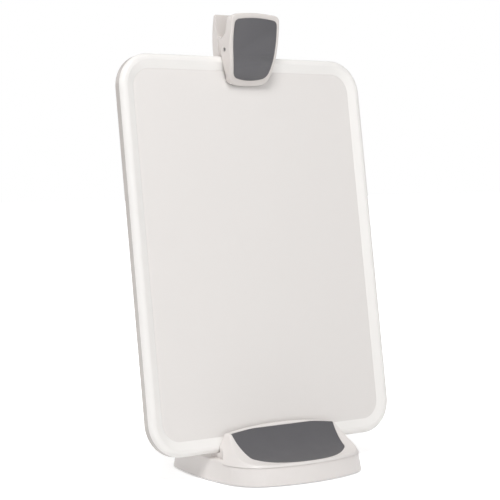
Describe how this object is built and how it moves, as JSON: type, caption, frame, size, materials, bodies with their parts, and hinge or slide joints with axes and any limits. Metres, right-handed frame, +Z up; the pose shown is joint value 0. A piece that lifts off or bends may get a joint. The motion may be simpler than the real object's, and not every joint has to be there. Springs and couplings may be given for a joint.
{
  "type": "copy holder",
  "caption": "Leaning board with a raised rim, held in the slot of a weighted oval base with a padded scoop, and a sprung clip with a soft pad at the board's top edge.",
  "frame": {"origin": "on the desk, under the middle of the base", "axes": "+Z up, -Y towards the reader, +X to the reader's right"},
  "size_m": [0.2384, 0.151, 0.3723],
  "materials": {
    "white_shell": "satin moulded ABS, off-white",
    "white_board": "fine-textured moulded plastic, off-white",
    "grey_soft": "soft-touch elastomer, mid grey",
    "foot_rubber": "moulded rubber, dark grey",
    "weight_steel": "rolled steel plate",
    "screw_steel": "zinc-plated steel",
    "pin_steel": "bright drawn wire"
  },
  "bodies": {
    "base": {"base_shell": "white_shell", "base_soft_pad": "grey_soft", "base_bottom_plate": "white_shell", "base_weight": "weight_steel", "base_weight_screws": "screw_steel", "base_plate_screws": "screw_steel", "foot_front_left": "foot_rubber", "foot_front_right": "foot_rubber", "foot_rear_left": "foot_rubber", "foot_rear_right": "foot_rubber", "back_rest": "white_shell", "back_rest_screws": "screw_steel"},
    "board": {"board_tray": "white_board", "board_back_cover": "white_board", "board_cover_screws": "screw_steel", "clip_bracket": "white_shell", "clip_bracket_screws": "screw_steel", "clip_hinge_pin": "pin_steel", "clip_spring": "pin_steel"},
    "jaw": {"clip_jaw": "white_shell", "clip_jaw_pad": "grey_soft", "clip_grip_strip": "foot_rubber"}
  },
  "joints": [
    {"name": "board_lift", "type": "slide", "parent": "base", "child": "board", "axis": [0, 0.1582, 0.9874], "range_m": [0, 0.045]},
    {"name": "jaw_open", "type": "hinge", "parent": "board", "child": "jaw", "pos_m": [0, 0.02008, 0.34253], "axis": [-1, 0, 0], "range_deg": [0, 22], "stiffness_Nm_per_rad": 0.15, "springref_deg": -34.38, "deforming": ["clip_spring"]}
  ]
}
